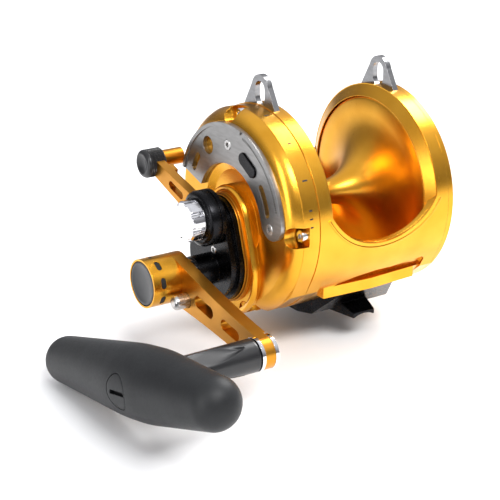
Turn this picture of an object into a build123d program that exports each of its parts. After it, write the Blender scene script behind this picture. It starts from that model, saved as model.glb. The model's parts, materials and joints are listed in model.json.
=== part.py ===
from build123d import *
from math import acos, asin, atan2, cos, degrees, hypot, pi, radians, sin, sqrt, tan
import os

# Two-speed lever-drag trolling reel, millimetres.
# X runs along the spool axis with the crank on -X, -Y is the rod tip side, Z is up.
# The origin is the crown of the rod saddle under the foot.
# Everything below is laid out about the spool axis and lifted by AXIS_H when it is written.

os.makedirs("parts", exist_ok=True)

# ---- overall sizes ----
AXIS_H = 62.5          # spool axis above the rod saddle's crown
RING_R = 60.0          # frame ring, outside
RING_IN = 37.0         # inner face of each ring at its rim
RING_LIP = 33.4        # inner face of each ring at its bore
RING_OUT = 45.4        # outer face of each ring
WALL = 5.0             # frame wall between the rings
JOINT_GAP = 0.1        # seam between a side plate and the frame

# ---- spool ----
FLANGE_R = 52.2        # spool flange
FLANGE_GAP = 0.5       # spool flange to ring bore
WAIST_R = 7.2          # spool arbor at its narrowest
SPOOL_OUT = 36.5       # outer faces of the spool
FLANGE_T = 2.2         # flange rim
RECESS_D = 2.5         # recess in the drag side of the spool
RECESS_R = 46.0
SHAFT_R = 4.0          # spool shaft
RUN = 0.05             # radial running clearance
FREE = 0.3             # clearance between other moving faces

# ---- gear train ----
MODULE = 1.0
HIGH_MAIN_N = 48
HIGH_PINION_N = 16
LOW_MAIN_N = 36
LOW_PINION_N = HIGH_MAIN_N + HIGH_PINION_N - LOW_MAIN_N
GEAR_T = 4.5
GEAR_Y = 2.0           # main shaft ahead or behind the spool axis
HIGH_X = -50.7         # outer face of the high gear
LOW_X = -56.2          # outer face of the low gear
MAIN_R = 5.0           # main shaft
ROD_R = 2.5            # shift rod inside the main shaft

# ---- handle side plate ----
RIM_X = -56.0          # outer edge of the plate's rim
DOME_X = -63.5         # flat face that carries the quadrant
DOME_R = 52.2
EGG_X = -67.0          # face of the gear stage
EGG_TOP_Z = -4.5
EGG_TOP_R = 20.3
EGG_LOW_R = 29.8
EGG_ROUND = 2.0        # depth of the rounded top edge
QUAD_R = 52.0
QUAD_IN_R = 33.0       # inner edge, about the top of the gear stage
MOAT_R = 28.3
QUAD_T = 2.6
QUAD_LIP = 0.8
QUAD_START = 17.0      # degrees from the rear, over the top, to the front
QUAD_END = 173.0
LIP_END = 104.0        # where the raised lip of the quadrant stops
COVER_X = -77.5        # face of the gear cover
COVER_STEP = -73.0
COVER_WALL = 2.5
COVER_TOP_R = 17.0
COVER_LOW_R = 24.5

# ---- lever and drag preset ----
LEVER_R = 60.5         # lever knob from the spool axis
LEVER_DEG = 17.0       # lever at rest, in the free position
HUB_IN = -78.0
HUB_OUT = -88.0
HUB_R = 16.0
LEVER_KNOB_R = 8.5
LEVER_KNOB_X = -89.5
BARREL_R = 5.0         # detent barrel on the lever, outside the plate's dome
BARREL_AT = 62.8
BARREL_IN = -61.8
PRESET_X = -96.4       # face of the preset knob
PRESET_R = 11.8

# ---- crank ----
CRANK_LEN = 89.0
CRANK_DEG = 189.2      # crank arm at rest
ARM_IN = -97.3
ARM_OUT = -104.8
HUB_FACE = -122.7
CRANK_HUB_R = 14.0
ARM_END_R = 9.0
ARM_WAIST = 1.6        # how far the arm's sides curve in
BUTTON_TRAVEL = 3.5
PIN_R = 4.2
PIN_TRAVEL = 2.2
SHANK_R = 9.1
SPINDLE_R = 3.5
GRIP_X = -169.5        # centre line of the grip
GRIP_LONG = 102.0      # from the spindle to the end of the longer arm
GRIP_SHORT = 75.0
GRIP_END_R = 12.4      # where each arm's taper meets its rounded end
GRIP_MID_R = 19.2
GRIP_KNEE = 11.0       # half the straight stretch in the middle
GRIP_CORNER = 11.0     # rounding of the ends
GRIP_BLEND = 45.0      # rounding of the two knees
GRIP_TILT = 13.0

# ---- foot and lugs ----
BAR_HALF_X = 32.5
BAR_Y = 46.0
BAR_RIDGE = 48.0
BAR_Z = -45.0
SADDLE_R = 14.0
FOOT_HALF_X = 32.0
FOOT_LEN = 84.0
TONGUE_W = 22.0
TONGUE_TIP_W = 15.0
CLAMP_X = 48.0         # clamp hole spacing across the foot
CLAMP_Y = 28.0         # clamp hole spacing along the foot
CLAMP_R = 2.5
CLAMP_TOP = -56.0      # the clamp holes stop in the frame's wall
LUG_X = 42.1
LUG_T = 3.4
LUG_Y = 2.2
EYE_Z = 66.0
EYE_W = 9.5
EYE_H = 14.0

# ---- far side plate ----
FAR_FACE = 56.0
CLICK_N = 24
CLICK_R = 17.0
CLICK_DEPTH = 2.8
CLICK_TRAVEL = 2.6

# ---- screws ----
RIM_SCREW_R = 55.2     # pitch radius of the side plate screws
RIM_SCREW_DEG = (85.0, 180.0, 252.0, 322.0, 20.0)
FAR_SCREW_DEG = (45.0, 135.0, 225.0, 315.0)
SCREW_R = 2.0
HEAD_R = 3.4

GEAR_DIST = MODULE * (HIGH_MAIN_N + HIGH_PINION_N) / 2
GEAR_Z = -sqrt(GEAR_DIST ** 2 - GEAR_Y ** 2)
GEAR_DEG = degrees(atan2(GEAR_Z, GEAR_Y))
GRIP_Y = GEAR_Y + CRANK_LEN * cos(radians(CRANK_DEG))
GRIP_Z = GEAR_Z + CRANK_LEN * sin(radians(CRANK_DEG))
BORE_R = FLANGE_R + FLANGE_GAP
QUAD_X = DOME_X - QUAD_T

# ---- how the pieces meet ----
PLATE_IN = RING_OUT + JOINT_GAP
CHAMBER_X = -57.5      # deepest wall of the gear chamber
SOCKET_X = -52.5       # seat of the rim screws
SCREW_TIP_X = 39.5     # how deep the rim screws reach into a frame ring
FAR_SCREW_R = 55.4
FAR_SEAT = 48.0
QUAD_SCREW_R = 1.6
QUAD_SCREW_END = DOME_X + 3.0
COVER_SCREW_R = 1.5
COVER_SCREW_SEAT = CHAMBER_X - 1.8
COVER_SCREW_END = -74.0
LUG_PIN_Z = 56.6
LUG_BASE_Z = 54.4
LUG_HALF_Y = 15.5

# ---- strike button ----
STRIKE_R = 38.0
STRIKE_DEG = 120.3
STRIKE_L = 17.0
STRIKE_W = 7.0
STRIKE_T = 2.0
STRIKE_TRAVEL = 1.2
STRIKE_PROUD = 1.0

# ---- bosses on the gear cover ----
POST_R = 8.0
POST_X = -87.5
BOSS_R = 9.2
BOSS_X = -90.0
OUTER_BEARING_R = 7.6
OUTER_BEARING_X = -89.4
OIL_SCREW_Y = -1.0
OIL_SCREW_Z = -20.0

# ---- bridge plate and bearings ----
BRIDGE_IN = -41.6
BRIDGE_R = BORE_R - 0.05
BRIDGE_SCREW_R = 45.5
BRIDGE_SCREW_DEG = (60.0, 180.0, 330.0)
BRIDGE_POST_R = 4.2
PINION_BEARING_R = 12.0
MAIN_BEARING_R = 8.5
SPOOL_BEARING_R = 9.5
SPOOL_BEARING_IN = 28.0
SPOOL_BEARING_OUT = 32.0
FAR_BUSH_R = 9.0

# ---- drag ----
PINION_HUB_R = 7.2
DRAG_R = 43.0
WASHER_X = -34.9       # face of the drag washer
PLATE_X = -36.4        # joint of the washer and the pressure plate
PLATE_BACK = -39.2
DRAG_SHAFT_END = -93.0
COLLAR_X = 50.4        # collar behind the far bush

# ---- main shaft, ratchet and dog ----
MAIN_END = -114.5
ROD_IN = -46.5
RATCHET_N = 12
RATCHET_TIP = 12.0
RATCHET_DEPTH = 2.6
RATCHET_DEG = 20.2     # root of one steep tooth face
RATCHET_X = -68.5
RATCHET_T = 3.0
DOG_Y = 17.5
DOG_Z = -25.5
DOG_LEN = 7.8
DOG_DEG = 149.6        # dog lifted clear of the ratchet
DOG_PIN_R = 1.5

# ---- hub button, washers and grip core ----
BUTTON_R = 12.6
BUTTON_T = 4.0
BUTTON_FLOOR = -115.0
WASHER_T = 2.0
SPOT_DEPTH = 1.2       # spot face for the inner washer
SHANK_IN = ARM_OUT - WASHER_T - FREE
CORE_OUT = GRIP_X - 13.0
SPINDLE_OUT = CORE_OUT + 3.0
CAP_R = 9.4

# ---- clicker ----
CLICK_STEM_Z = 30.0
CLICK_MID_Z = CLICK_STEM_Z - CLICK_TRAVEL / 2

NODES = {}


# ---- shared shapes ----
def cyl(r, x0, x1, y=0.0, z=0.0):
    """Cylinder along X."""
    return Pos((x0 + x1) / 2, y, z) * Rot(0, 90, 0) * Cylinder(r, abs(x1 - x0))


def tube(outer, inner, x0, x1, y=0.0, z=0.0):
    """Ring along X."""
    return cyl(outer, x0, x1, y, z) - cyl(inner, min(x0, x1) - 1, max(x0, x1) + 1, y, z)


def prism(sketch, x0, x1):
    """Sketch in Y and Z, stretched from x0 to x1."""
    low = min(x0, x1)
    plane = Plane(origin=(low, 0, 0), x_dir=(0, 1, 0), z_dir=(1, 0, 0))
    return extrude(plane * sketch, abs(x1 - x0), dir=(1, 0, 0))


def slab(sketch, z0, z1):
    """Plan in X and Y, stretched from z0 up to z1."""
    return extrude(Pos(0, 0, z0) * sketch, z1 - z0, dir=(0, 0, 1))


def turned(points):
    """Body of revolution about the spool axis from (x, radius) points."""
    return revolve(make_face(Polyline(*points, close=True)), Axis.X)


def hull(ya, za, ra, yb, zb, rb):
    """Outline that wraps two circles, in Y and Z."""
    along = degrees(atan2(zb - za, yb - ya))
    turn = degrees(acos((ra - rb) / hypot(yb - ya, zb - za)))
    edges = [
        CenterArc((ya, za), ra, along + turn, 360 - 2 * turn),
        Line(polar(ra, along - turn, ya, za), polar(rb, along - turn, yb, zb)),
        CenterArc((yb, zb), rb, along - turn, 2 * turn),
        Line(polar(rb, along + turn, yb, zb), polar(ra, along + turn, ya, za)),
    ]
    return make_face(edges)


def polar(radius, angle, y=0.0, z=0.0):
    """Y and Z of a point at an angle, counted from +Y towards +Z."""
    return y + radius * cos(radians(angle)), z + radius * sin(radians(angle))


def arc_slot(radius, width, start, end):
    """Rounded slot along an arc about the spool axis, in Y and Z."""
    slot = Pos(*polar(radius, start)) * Circle(width / 2) + Pos(*polar(radius, end)) * Circle(width / 2)
    return slot + sector(radius - width / 2, radius + width / 2, start, end)


def sector(inner, outer, start, end):
    """Part of a flat ring, in Y and Z."""
    middle = (start + end) / 2
    edges = [
        CenterArc((0, 0), outer, start, end - start),
        Line(polar(outer, end), polar(inner, end)),
        ThreePointArc(polar(inner, end), polar(inner, middle), polar(inner, start)),
        Line(polar(inner, start), polar(outer, start)),
    ]
    return make_face(edges)


def gear(teeth, phase):
    """Straight-flanked gear outline with backlash, in Y and Z. One tooth points at the phase angle."""
    pitch_r = MODULE * teeth / 2
    tip_r = pitch_r + 0.75 * MODULE
    root_r = pitch_r - 1.05 * MODULE
    half = 0.40 * pi * MODULE / 2
    lean = tan(radians(20))
    points = []
    for k in range(teeth):
        mid = radians(phase) + 2 * pi * k / teeth
        for r, side in ((root_r, -1), (tip_r, -1), (tip_r, 1), (root_r, 1)):
            a = mid + side * (half + (pitch_r - r) * lean) / r
            points.append((r * cos(a), r * sin(a)))
    return Polygon(*points, align=None)


def saw(teeth, tip_r, root_r, phase):
    """Ratchet outline, in Y and Z."""
    points = []
    for k in range(teeth):
        a = phase + 360.0 * k / teeth
        points.append(polar(root_r, a))
        points.append(polar(tip_r, a + 1.5))
        points.append(polar(tip_r, a + 4.5))
    return Polygon(*points, align=None)


def moved(sketch, y, z):
    return Pos(y, z) * sketch


def plate_outline(r):
    """Round plate with the two flats that run into the foot bar."""
    corner_y, corner_z = 0.775 * RING_R, -39.5
    reach = hypot(corner_y, corner_z)
    outline = Circle(r)
    for side in (1, -1):
        mid = degrees(atan2(corner_z, side * corner_y))
        swing = degrees(acos(min(1.0, r / reach)))
        ear = Polygon((0, 0), polar(r, mid - swing), (side * corner_y, corner_z), polar(r, mid + swing),
                      align=None)
        outline = outline + ear
    return outline


def socket_screw(x_head, x_seat, x_end, y, z, head_r=HEAD_R, shank_r=SCREW_R):
    """Cap screw along X with a hexagon socket. The head runs from x_head to x_seat."""
    out = 1 if x_head > x_seat else -1
    body = cyl(head_r, x_head, x_seat, y, z) + cyl(shank_r, x_seat, x_end, y, z)
    body = chamfer(body.edges().filter_by(GeomType.CIRCLE).sort_by(Axis.X)[-1 if out > 0 else 0], 0.4)
    socket = prism(moved(RegularPolygon(0.5 * head_r, 6), y, z), x_head + out, x_head - out * 1.6)
    return body - socket


def keep(name, *shapes):
    """Store a node, lifted to its height above the saddle."""
    lifted = [Pos(0, 0, AXIS_H) * shape for shape in shapes]
    NODES[name] = lifted[0] if len(lifted) == 1 else Compound(children=lifted)


# ---- frame ----
def frame():
    shell = cyl(RING_R, -RING_IN, RING_IN) - cyl(RING_R - WALL, -RING_IN - 1, RING_IN + 1)
    bar_plan = Polygon((-BAR_HALF_X, -BAR_Y), (0, -BAR_RIDGE), (BAR_HALF_X, -BAR_Y),
                       (BAR_HALF_X, BAR_Y), (0, BAR_RIDGE), (-BAR_HALF_X, BAR_Y), align=None)
    bar = slab(bar_plan, BAR_Z, BAR_Z + 9.0)
    shell = shell + (bar - cyl(RING_R - WALL, -RING_IN, RING_IN))
    for side in (1, -1):
        shell = shell - relief(side)
    # the line window: a round-bottomed opening cut straight through, front and back
    sag_z, window_r = -13.4, 42.6
    window = Pos(0, 0, sag_z + window_r) * Rot(90, 0, 0) * Cylinder(window_r, 3 * RING_R)
    window = window + Pos(0, 0, sag_z + window_r + RING_R) * Box(4 * RING_R, 3 * RING_R, 2 * RING_R)
    shell = shell - window
    for side in (1, -1):
        shell = shell + frame_ring(side)
    return shell


def relief(side):
    """Shallow wave-edged pocket above the bar."""
    outline = Polygon((-26, -38.6), (-12, -35.2), (2, -33.6), (13, -33.8), (24, -32.4), (35, -31.6),
                      (42, -38.6), align=None)
    cut = Pos(0, -side * 10, 0) * extrude(Plane.XZ * outline, 60, dir=(0, -side, 0))
    shell = tube(RING_R + 4, RING_R - 1.6, -RING_IN, RING_IN)
    return cut & shell


def frame_ring(side):
    """Ring with a coned inner face, the lug slot and its screw holes."""
    ring = prism(plate_outline(RING_R), side * RING_IN, side * RING_OUT)
    cone = turned([(side * RING_IN, 0), (side * RING_IN, RING_R - 0.6), (side * RING_LIP, BORE_R + 0.3),
                   (side * RING_LIP, 0)])
    ring = ring + cone
    ring = ring - cyl(BORE_R, side * (RING_LIP - 1), side * (RING_OUT + 1))
    slot = lug_outline(with_eye=False)
    ring = ring - prism(slot, side * (LUG_X - LUG_T / 2), side * (LUG_X + LUG_T / 2))
    for y in lug_pin_ys():
        ring = ring - cyl(SCREW_R, side * (RING_IN + 1.5), side * RING_OUT, y, LUG_PIN_Z)
    angles = RIM_SCREW_DEG if side < 0 else FAR_SCREW_DEG
    for angle in angles:
        y, z = polar(rim_screw_r(side), angle)
        ring = ring - cyl(SCREW_R, side * SCREW_TIP_X, side * (RING_OUT + 1), y, z)
    return ring


def rim_screw_r(side):
    return RIM_SCREW_R if side < 0 else FAR_SCREW_R


# ---- harness lugs ----


def lug_pin_ys():
    return LUG_Y - 8.0, LUG_Y + 8.0


def lug_outline(with_eye=True):
    top_r = 8.4
    eye_top = EYE_Z + (EYE_H - EYE_W) / 2
    blade = Polygon((LUG_Y - LUG_HALF_Y, LUG_BASE_Z), (LUG_Y + LUG_HALF_Y, LUG_BASE_Z),
                    (LUG_Y + LUG_HALF_Y, LUG_BASE_Z + 3.4), (LUG_Y + top_r - 0.5, eye_top + 2.6),
                    (LUG_Y - top_r + 0.5, eye_top + 2.6), (LUG_Y - LUG_HALF_Y, LUG_BASE_Z + 3.4), align=None)
    outline = blade + Pos(LUG_Y, eye_top) * Circle(top_r)
    if with_eye:
        outline = outline - Pos(LUG_Y, EYE_Z) * Rot(0, 0, 90) * SlotOverall(EYE_H, EYE_W)
    return outline


def harness_lug(side):
    x0, x1 = side * (LUG_X - LUG_T / 2), side * (LUG_X + LUG_T / 2)
    lug = prism(lug_outline(), x0, x1)
    for y in lug_pin_ys():
        lug = lug - cyl(SCREW_R, x0 - side, x1 + side, y, LUG_PIN_Z)
    # the top rim screw on the handle side passes through the foot of its lug
    if side < 0:
        y, z = polar(RIM_SCREW_R, RIM_SCREW_DEG[0])
        lug = lug - cyl(SCREW_R, x0 - side, x1 + side, y, z)
    return lug


def lug_pins():
    pins = []
    for side in (1, -1):
        for y in lug_pin_ys():
            pins.append(cyl(SCREW_R, side * (RING_IN + 1.5), side * RING_OUT, y, LUG_PIN_Z))
    return pins


# ---- handle side plate ----


def egg(grow=0.0):
    """Outline of the gear stage."""
    return hull(0, EGG_TOP_Z, EGG_TOP_R + grow, GEAR_Y, GEAR_Z, EGG_LOW_R + grow)


def handle_side_plate():
    rim = prism(plate_outline(RING_R - 0.4), -PLATE_IN, RIM_X)
    shoulder = make_face([
        Line((RIM_X, 0), (RIM_X, RING_R - 0.6)),
        RadiusArc((RIM_X, RING_R - 0.6), (DOME_X, DOME_R), -10.5),
        Line((DOME_X, DOME_R), (DOME_X, 0)),
        Line((DOME_X, 0), (RIM_X, 0)),
    ])
    dome = revolve(shoulder, Axis.X)
    body = rim + dome
    moat = turned([(DOME_X - 1, 0), (DOME_X - 1, MOAT_R + 0.6), (DOME_X, MOAT_R),
                   (DOME_X + 3.0, MOAT_R - 4.0), (DOME_X + 3.0, 0)])
    body = body - moat
    body = body + prism(egg(), -PLATE_IN, EGG_X + EGG_ROUND) + stage_top()
    chamber = cyl(50.0, -PLATE_IN + 1, -55.5) + cyl(44.0, -55, CHAMBER_X)
    chamber = chamber + prism(moved(Circle(EGG_LOW_R - 3.0), GEAR_Y, GEAR_Z), -PLATE_IN + 1, CHAMBER_X)
    for angle in BRIDGE_SCREW_DEG:
        y, z = polar(BRIDGE_SCREW_R, angle)
        chamber = chamber - cyl(BRIDGE_POST_R, -PLATE_IN, CHAMBER_X, y, z)
        chamber = chamber + cyl(COVER_SCREW_R, -PLATE_IN + 1, -53.0, y, z)
    body = body - chamber
    body = body - cyl(6.5, CHAMBER_X + 1, EGG_X - 1)
    body = body - cyl(MAIN_R + 0.5, CHAMBER_X + 1, EGG_X - 1, GEAR_Y, GEAR_Z)
    for angle in RIM_SCREW_DEG:
        y, z = polar(RIM_SCREW_R + 2.0, angle)
        body = body - cyl(6.0, SOCKET_X, DOME_X - 6, y, z)
        y, z = polar(RIM_SCREW_R, angle)
        body = body - cyl(SCREW_R, SOCKET_X - 1, -PLATE_IN + 1, y, z)
    for y, z in quadrant_screw_places():
        body = body - cyl(QUAD_SCREW_R, DOME_X - 1, QUAD_SCREW_END, y, z)
    body = body - strike_shape(FREE, DOME_X + STRIKE_T + STRIKE_TRAVEL, DOME_X - 1)
    for y, z in cover_screw_places():
        body = body - cyl(COVER_SCREW_R, CHAMBER_X + 1, EGG_X - 1, y, z)
        body = body - cyl(2.6, CHAMBER_X + 1, COVER_SCREW_SEAT, y, z)
    return body


def stage_top():
    """Rounded top edge of the gear stage, in thin steps."""
    steps = 4
    height = EGG_ROUND / steps
    top = None
    for k in range(steps):
        share = (k + 0.5) / steps
        low = EGG_X + EGG_ROUND - height * k
        layer = prism(egg(-1.2 * share * share), low, low - height)
        top = layer if top is None else top + layer
    return top


def rim_screws():
    screws = []
    for angle in RIM_SCREW_DEG:
        y, z = polar(RIM_SCREW_R, angle)
        screws.append(socket_screw(SOCKET_X - 3.6, SOCKET_X, -SCREW_TIP_X, y, z))
    return screws


# ---- quadrant ----


def quadrant_screw_places():
    return polar(39.6, 88.0), polar(40.6, 178.0)


def strike_shape(grow, x0, x1):
    """Oblong button set square to its radius."""
    y, z = polar(STRIKE_R, STRIKE_DEG)
    outline = Pos(y, z) * Rot(0, 0, STRIKE_DEG + 90) * SlotOverall(STRIKE_L + 2 * grow, STRIKE_W + 2 * grow)
    return prism(outline, x0, x1)


def quadrant_plate():
    inner_end = QUAD_IN_R - 0.4
    outline = sector(MOAT_R - 4.0, QUAD_R, QUAD_START, QUAD_END) - Pos(0, EGG_TOP_Z) * Circle(QUAD_IN_R)
    outline = outline + Pos(*polar((QUAD_R + inner_end) / 2, QUAD_END)) * Circle((QUAD_R - inner_end) / 2)
    outline = outline - Pos(*polar(40.9, 57.5)) * Circle(5.3)
    outline = outline - arc_slot(41.5, 4.6, 25.5, 37.5)
    outline = outline - arc_slot(39.4, 4.4, 145.0, 166.0)
    plate = prism(outline, DOME_X, QUAD_X)
    lip = prism(sector(QUAD_R - 2.2, QUAD_R, QUAD_START, LIP_END), QUAD_X, QUAD_X - QUAD_LIP)
    plate = plate + lip
    plate = plate - strike_shape(FREE, DOME_X + 1, QUAD_X - 2)
    for y, z in quadrant_screw_places():
        plate = plate - cyl(QUAD_SCREW_R, DOME_X + 1, QUAD_X - 2, y, z)
        plate = plate - cyl(3.2, QUAD_X + 0.8, QUAD_X - 2, y, z)
    return plate


def quadrant_screws():
    screws = []
    for y, z in quadrant_screw_places():
        screws.append(socket_screw(QUAD_X - 0.3, QUAD_X + 0.8, QUAD_SCREW_END, y, z, 3.2, QUAD_SCREW_R))
    return screws


def strike_button():
    return strike_shape(0.0, DOME_X + STRIKE_T, QUAD_X - STRIKE_PROUD)


# ---- gear cover ----


def cover_screw_places():
    return (-13.5, -17.0), (16.0, -17.0), (-12.0, -39.0), (16.0, -39.0)


def cover_outline(grow=0.0):
    return hull(1.0, -7.0, COVER_TOP_R + grow, GEAR_Y + 0.5, -27.0, COVER_LOW_R + grow)


def gear_cover():
    body = prism(cover_outline(), EGG_X, COVER_STEP) + prism(cover_outline(-2.2), COVER_STEP, COVER_X)
    body = body - prism(cover_outline(-2.2 - COVER_WALL), EGG_X + 1, COVER_X + COVER_WALL)
    body = body + cyl(POST_R, EGG_X, POST_X) + cyl(BOSS_R, COVER_X + 1, BOSS_X, GEAR_Y, GEAR_Z)
    for y, z in cover_screw_places():
        body = body + cyl(3.2, EGG_X, COVER_X + 1, y, z)
    body = body & (prism(cover_outline(), EGG_X, COVER_X) + cyl(POST_R, COVER_X, POST_X)
                   + cyl(BOSS_R, COVER_X, BOSS_X, GEAR_Y, GEAR_Z))
    body = body - cyl(SHAFT_R + 0.4, EGG_X + 1, POST_X - 1)
    body = body - cyl(MAIN_R + 0.6, EGG_X + 1, BOSS_X - 1, GEAR_Y, GEAR_Z)
    body = body - cyl(OUTER_BEARING_R, OUTER_BEARING_X + 4.0, BOSS_X - 1, GEAR_Y, GEAR_Z)
    body = body - cyl(2.6, COVER_X + 1.0, COVER_X - 1, OIL_SCREW_Y, OIL_SCREW_Z)
    body = body - cyl(COVER_SCREW_R, COVER_X + COVER_WALL + 1, COVER_X - 1, OIL_SCREW_Y, OIL_SCREW_Z)
    for y, z in cover_screw_places():
        body = body - cyl(COVER_SCREW_R, EGG_X + 1, COVER_SCREW_END, y, z)
    return body


def gear_cover_screws():
    """Screws that hold the cover from inside the gear chamber."""
    screws = []
    for y, z in cover_screw_places():
        screws.append(socket_screw(CHAMBER_X - 0.1, COVER_SCREW_SEAT, COVER_SCREW_END, y, z,
                                   2.6, COVER_SCREW_R))
    return screws


def oil_port_screw():
    """Short plug in the wall of the cover."""
    return socket_screw(COVER_X - 0.2, COVER_X + 1.0, COVER_X + COVER_WALL, OIL_SCREW_Y, OIL_SCREW_Z,
                        2.6, COVER_SCREW_R)


def outer_bearing():
    return tube(OUTER_BEARING_R, MAIN_R + RUN, OUTER_BEARING_X, OUTER_BEARING_X + 4.0, GEAR_Y, GEAR_Z)


# ---- bridge plate and its bearings ----


def bridge_plate():
    plate = cyl(BRIDGE_R, BRIDGE_IN, -RING_OUT)
    plate = plate - cyl(PINION_BEARING_R, BRIDGE_IN + 1, -RING_OUT - 1)
    plate = plate - cyl(MAIN_BEARING_R, BRIDGE_IN + 1, -RING_OUT - 1, GEAR_Y, GEAR_Z)
    for angle in BRIDGE_SCREW_DEG:
        y, z = polar(BRIDGE_SCREW_R, angle)
        plate = plate - cyl(COVER_SCREW_R, BRIDGE_IN + 1, -RING_OUT - 1, y, z)
        plate = plate - cyl(2.6, BRIDGE_IN + 1, BRIDGE_IN - 1.6, y, z)
    return plate


def bridge_screws():
    screws = []
    for angle in BRIDGE_SCREW_DEG:
        y, z = polar(BRIDGE_SCREW_R, angle)
        screws.append(socket_screw(BRIDGE_IN + 0.2, BRIDGE_IN - 1.6, -53.0, y, z, 2.6, COVER_SCREW_R))
    return screws


def pinion_bearing():
    return tube(PINION_BEARING_R, PINION_HUB_R + RUN, BRIDGE_IN, -RING_OUT)


def main_bearing():
    return tube(MAIN_BEARING_R, MAIN_R + RUN, BRIDGE_IN, -RING_OUT, GEAR_Y, GEAR_Z)


# ---- spool and drag ----


def spool_profile():
    """Half section of the spool: an hourglass arbor that flares into two flanges."""
    lip = RING_LIP + 0.3
    flare_x, flare_r = lip - 0.5, FLANGE_R - 7.0
    edges = [
        Line((-SPOOL_OUT, SHAFT_R + 0.3), (SPOOL_OUT, SHAFT_R + 0.3)),
        Line((SPOOL_OUT, SHAFT_R + 0.3), (SPOOL_OUT, FLANGE_R - 0.8)),
        Line((SPOOL_OUT, FLANGE_R - 0.8), (SPOOL_OUT - 0.8, FLANGE_R)),
        Line((SPOOL_OUT - 0.8, FLANGE_R), (lip + 0.4, FLANGE_R)),
        Line((lip + 0.4, FLANGE_R), (flare_x, flare_r)),
        EllipticalCenterArc((0, flare_r), flare_x, flare_r - WAIST_R, 180, arc_size=180),
        Line((-flare_x, flare_r), (-lip - 0.4, FLANGE_R)),
        Line((-lip - 0.4, FLANGE_R), (-SPOOL_OUT + 0.8, FLANGE_R)),
        Line((-SPOOL_OUT + 0.8, FLANGE_R), (-SPOOL_OUT, FLANGE_R - 0.8)),
        Line((-SPOOL_OUT, FLANGE_R - 0.8), (-SPOOL_OUT, SHAFT_R + 0.3)),
    ]
    return make_face(edges)


def spool():
    body = revolve(spool_profile(), Axis.X)
    body = body - cyl(RECESS_R, -SPOOL_OUT - 1, -SPOOL_OUT + RECESS_D)
    for side in (1, -1):
        body = body - spool_lightening(side)
        body = body - cyl(SPOOL_BEARING_R, side * (SPOOL_OUT + 1), side * SPOOL_BEARING_IN)
    return body


def spool_lightening(side):
    """Ring-shaped hollow inside each flange, open on the outside, that follows the flare."""
    points = [(37.5, 13.5), (37.5, 36.0), (35.4, 36.0), (33.6, 30.0), (31.2, 25.0), (28.3, 20.0),
              (27.0, 16.0), (27.0, 13.5)]
    return turned([(side * x, r) for x, r in points])


def spool_bearings():
    rings = []
    for side in (1, -1):
        rings.append(tube(SPOOL_BEARING_R, SHAFT_R + RUN, side * SPOOL_BEARING_IN, side * SPOOL_BEARING_OUT))
    return rings


def click_ratchet():
    points = []
    for k in range(CLICK_N):
        a = 90.0 + 360.0 * k / CLICK_N
        points.append(polar(CLICK_R - CLICK_DEPTH, a))
        points.append(polar(CLICK_R, a + 180.0 / CLICK_N))
    wheel = Polygon(*points, align=None) - Circle(SPOOL_BEARING_R)
    return prism(wheel, SPOOL_OUT, SPOOL_OUT + 2.2)


def drag_washer():
    return tube(DRAG_R, 24.0, WASHER_X, PLATE_X)


def pressure_plate():
    return tube(DRAG_R + 1.5, PINION_HUB_R, PLATE_X, PLATE_BACK)


def pinion_sleeve():
    body = cyl(PINION_HUB_R, PLATE_X, HIGH_X + GEAR_T)
    body = body + prism(gear(HIGH_PINION_N, GEAR_DEG + 180.0 / HIGH_PINION_N), HIGH_X, HIGH_X + GEAR_T)
    body = body + cyl(MODULE * HIGH_PINION_N / 2 - 1.3, HIGH_X, LOW_X + GEAR_T)
    body = body + prism(gear(LOW_PINION_N, GEAR_DEG + 180.0 / LOW_PINION_N), LOW_X, LOW_X + GEAR_T)
    body = body + cyl(6.0, LOW_X, LOW_X - 6.0)
    return body - cyl(SHAFT_R + RUN, PLATE_X + 1, LOW_X - 7.0)


def drag_shaft():
    return cyl(SHAFT_R, DRAG_SHAFT_END, COLLAR_X) + cyl(6.0, COLLAR_X, COLLAR_X + 1.5)


# ---- gears on the main shaft ----
def high_gear():
    wheel = gear(HIGH_MAIN_N, GEAR_DEG + 180.0)
    for k in range(6):
        wheel = wheel - Pos(*polar(14.5, 60.0 * k)) * Circle(3.6)
    wheel = wheel - Circle(MAIN_R)
    return prism(moved(wheel, GEAR_Y, GEAR_Z), HIGH_X, HIGH_X + GEAR_T)


def low_gear():
    wheel = gear(LOW_MAIN_N, GEAR_DEG + 180.0)
    for k in range(6):
        wheel = wheel - Pos(*polar(11.0, 60.0 * k)) * Circle(2.6)
    wheel = wheel - Circle(MAIN_R + RUN)
    return prism(moved(wheel, GEAR_Y, GEAR_Z), LOW_X, LOW_X + GEAR_T)


def main_shaft():
    return tube(MAIN_R, ROD_R + RUN, BRIDGE_IN, MAIN_END, GEAR_Y, GEAR_Z)


def ratchet_wheel():
    wheel = saw(RATCHET_N, RATCHET_TIP, RATCHET_TIP - RATCHET_DEPTH, RATCHET_DEG) - Circle(MAIN_R)
    return prism(moved(wheel, GEAR_Y, GEAR_Z), RATCHET_X, RATCHET_X - RATCHET_T)


def shaft_collar():
    return tube(8.0, MAIN_R, BOSS_X - 0.4, ARM_IN, GEAR_Y, GEAR_Z)


# ---- anti-reverse dog ----


def dog_pin():
    return cyl(DOG_PIN_R, EGG_X + 3.0, RATCHET_X - RATCHET_T - 0.6, DOG_Y, DOG_Z)


def anti_reverse_dog():
    tip_y, tip_z = polar(DOG_LEN, DOG_DEG, DOG_Y, DOG_Z)
    lever = hull(DOG_Y, DOG_Z, 3.0, tip_y, tip_z, 0.8)
    lever = lever - Pos(DOG_Y, DOG_Z) * Circle(DOG_PIN_R + RUN)
    return prism(lever, RATCHET_X, RATCHET_X - RATCHET_T)


# ---- drag lever ----
def lever_hub():
    hub = tube(HUB_R, POST_R + RUN, HUB_IN, HUB_OUT)
    groove = tube(HUB_R + 1, HUB_R - 1.2, HUB_IN - 2.4, HUB_IN - 3.4)
    return hub - groove


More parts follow.
